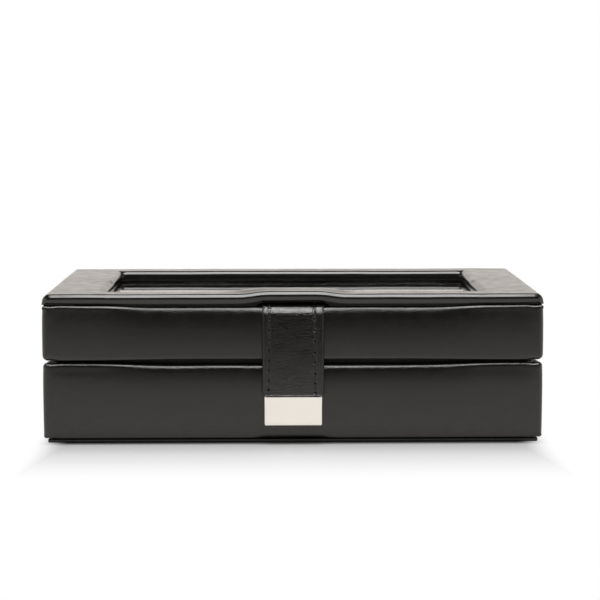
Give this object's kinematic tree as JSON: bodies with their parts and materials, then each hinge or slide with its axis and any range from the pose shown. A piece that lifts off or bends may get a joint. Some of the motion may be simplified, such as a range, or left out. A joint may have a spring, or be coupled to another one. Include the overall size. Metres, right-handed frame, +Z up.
{
  "type": "cufflink box",
  "caption": "Leather-covered cufflink box with a windowed lid on stop hinges, a magnetic strap closure and a divided, suede-lined inside.",
  "frame": {"origin": "middle of the underside of the base plate", "axes": "+Z up, -Y towards the front with the strap, +X to the right seen from the front"},
  "size_m": [0.2, 0.1089, 0.0615],
  "materials": {
    "leathercloth": "smooth semi-gloss leathercloth with a very fine grain",
    "fibreboard": "raw medium-density fibreboard",
    "suede": "flocked suede cloth on card",
    "nickel_plate": "satin nickel plate",
    "steel": "plated steel",
    "pane": "clear polished glass"
  },
  "bodies": {
    "base": {"base_plate": "leathercloth", "base_cover": "leathercloth", "base_front_board": "fibreboard", "base_back_board": "fibreboard", "base_left_board": "fibreboard", "base_right_board": "fibreboard", "base_floor_board": "fibreboard", "collar_front": "suede", "collar_back": "suede", "collar_left": "suede", "collar_right": "suede", "floor_pad": "suede", "long_divider": "suede", "cross_divider_1": "suede", "cross_divider_2": "suede", "cross_divider_3": "suede", "cross_divider_4": "suede", "cross_divider_5": "suede", "closure_keeper": "steel", "hinge_left_base_leaf": "steel", "hinge_right_base_leaf": "steel", "hinge_left_pin": "steel", "hinge_right_pin": "steel", "base_hinge_screw_1": "steel", "base_hinge_screw_2": "steel", "base_hinge_screw_3": "steel", "base_hinge_screw_4": "steel"},
    "lid": {"lid_cover": "leathercloth", "lid_front_board": "fibreboard", "lid_back_board": "fibreboard", "lid_left_board": "fibreboard", "lid_right_board": "fibreboard", "lid_lining_front": "suede", "lid_lining_back": "suede", "lid_lining_left": "suede", "lid_lining_right": "suede", "window_pane": "pane", "pane_retainer": "suede", "panel_board": "fibreboard", "panel_cover": "leathercloth", "strap_tab": "leathercloth", "hinge_left_lid_leaf": "steel", "hinge_right_lid_leaf": "steel", "lid_hinge_screw_1": "steel", "lid_hinge_screw_2": "steel", "lid_hinge_screw_3": "steel", "lid_hinge_screw_4": "steel"},
    "strap": {"strap_face": "leathercloth", "strap_lining": "leathercloth", "strap_end_plate": "nickel_plate", "strap_magnet": "steel"}
  },
  "joints": [
    {"name": "lid_hinge", "type": "hinge", "parent": "base", "child": "lid", "pos_m": [0, 0.0519, 0.0329], "axis": [-1, 0, 0], "range_deg": [0, 95]},
    {"name": "strap_flap", "type": "hinge", "parent": "lid", "child": "strap", "pos_m": [0, -0.05145, 0.05215], "axis": [-1, 0, 0], "range_deg": [0, 105]}
  ]
}
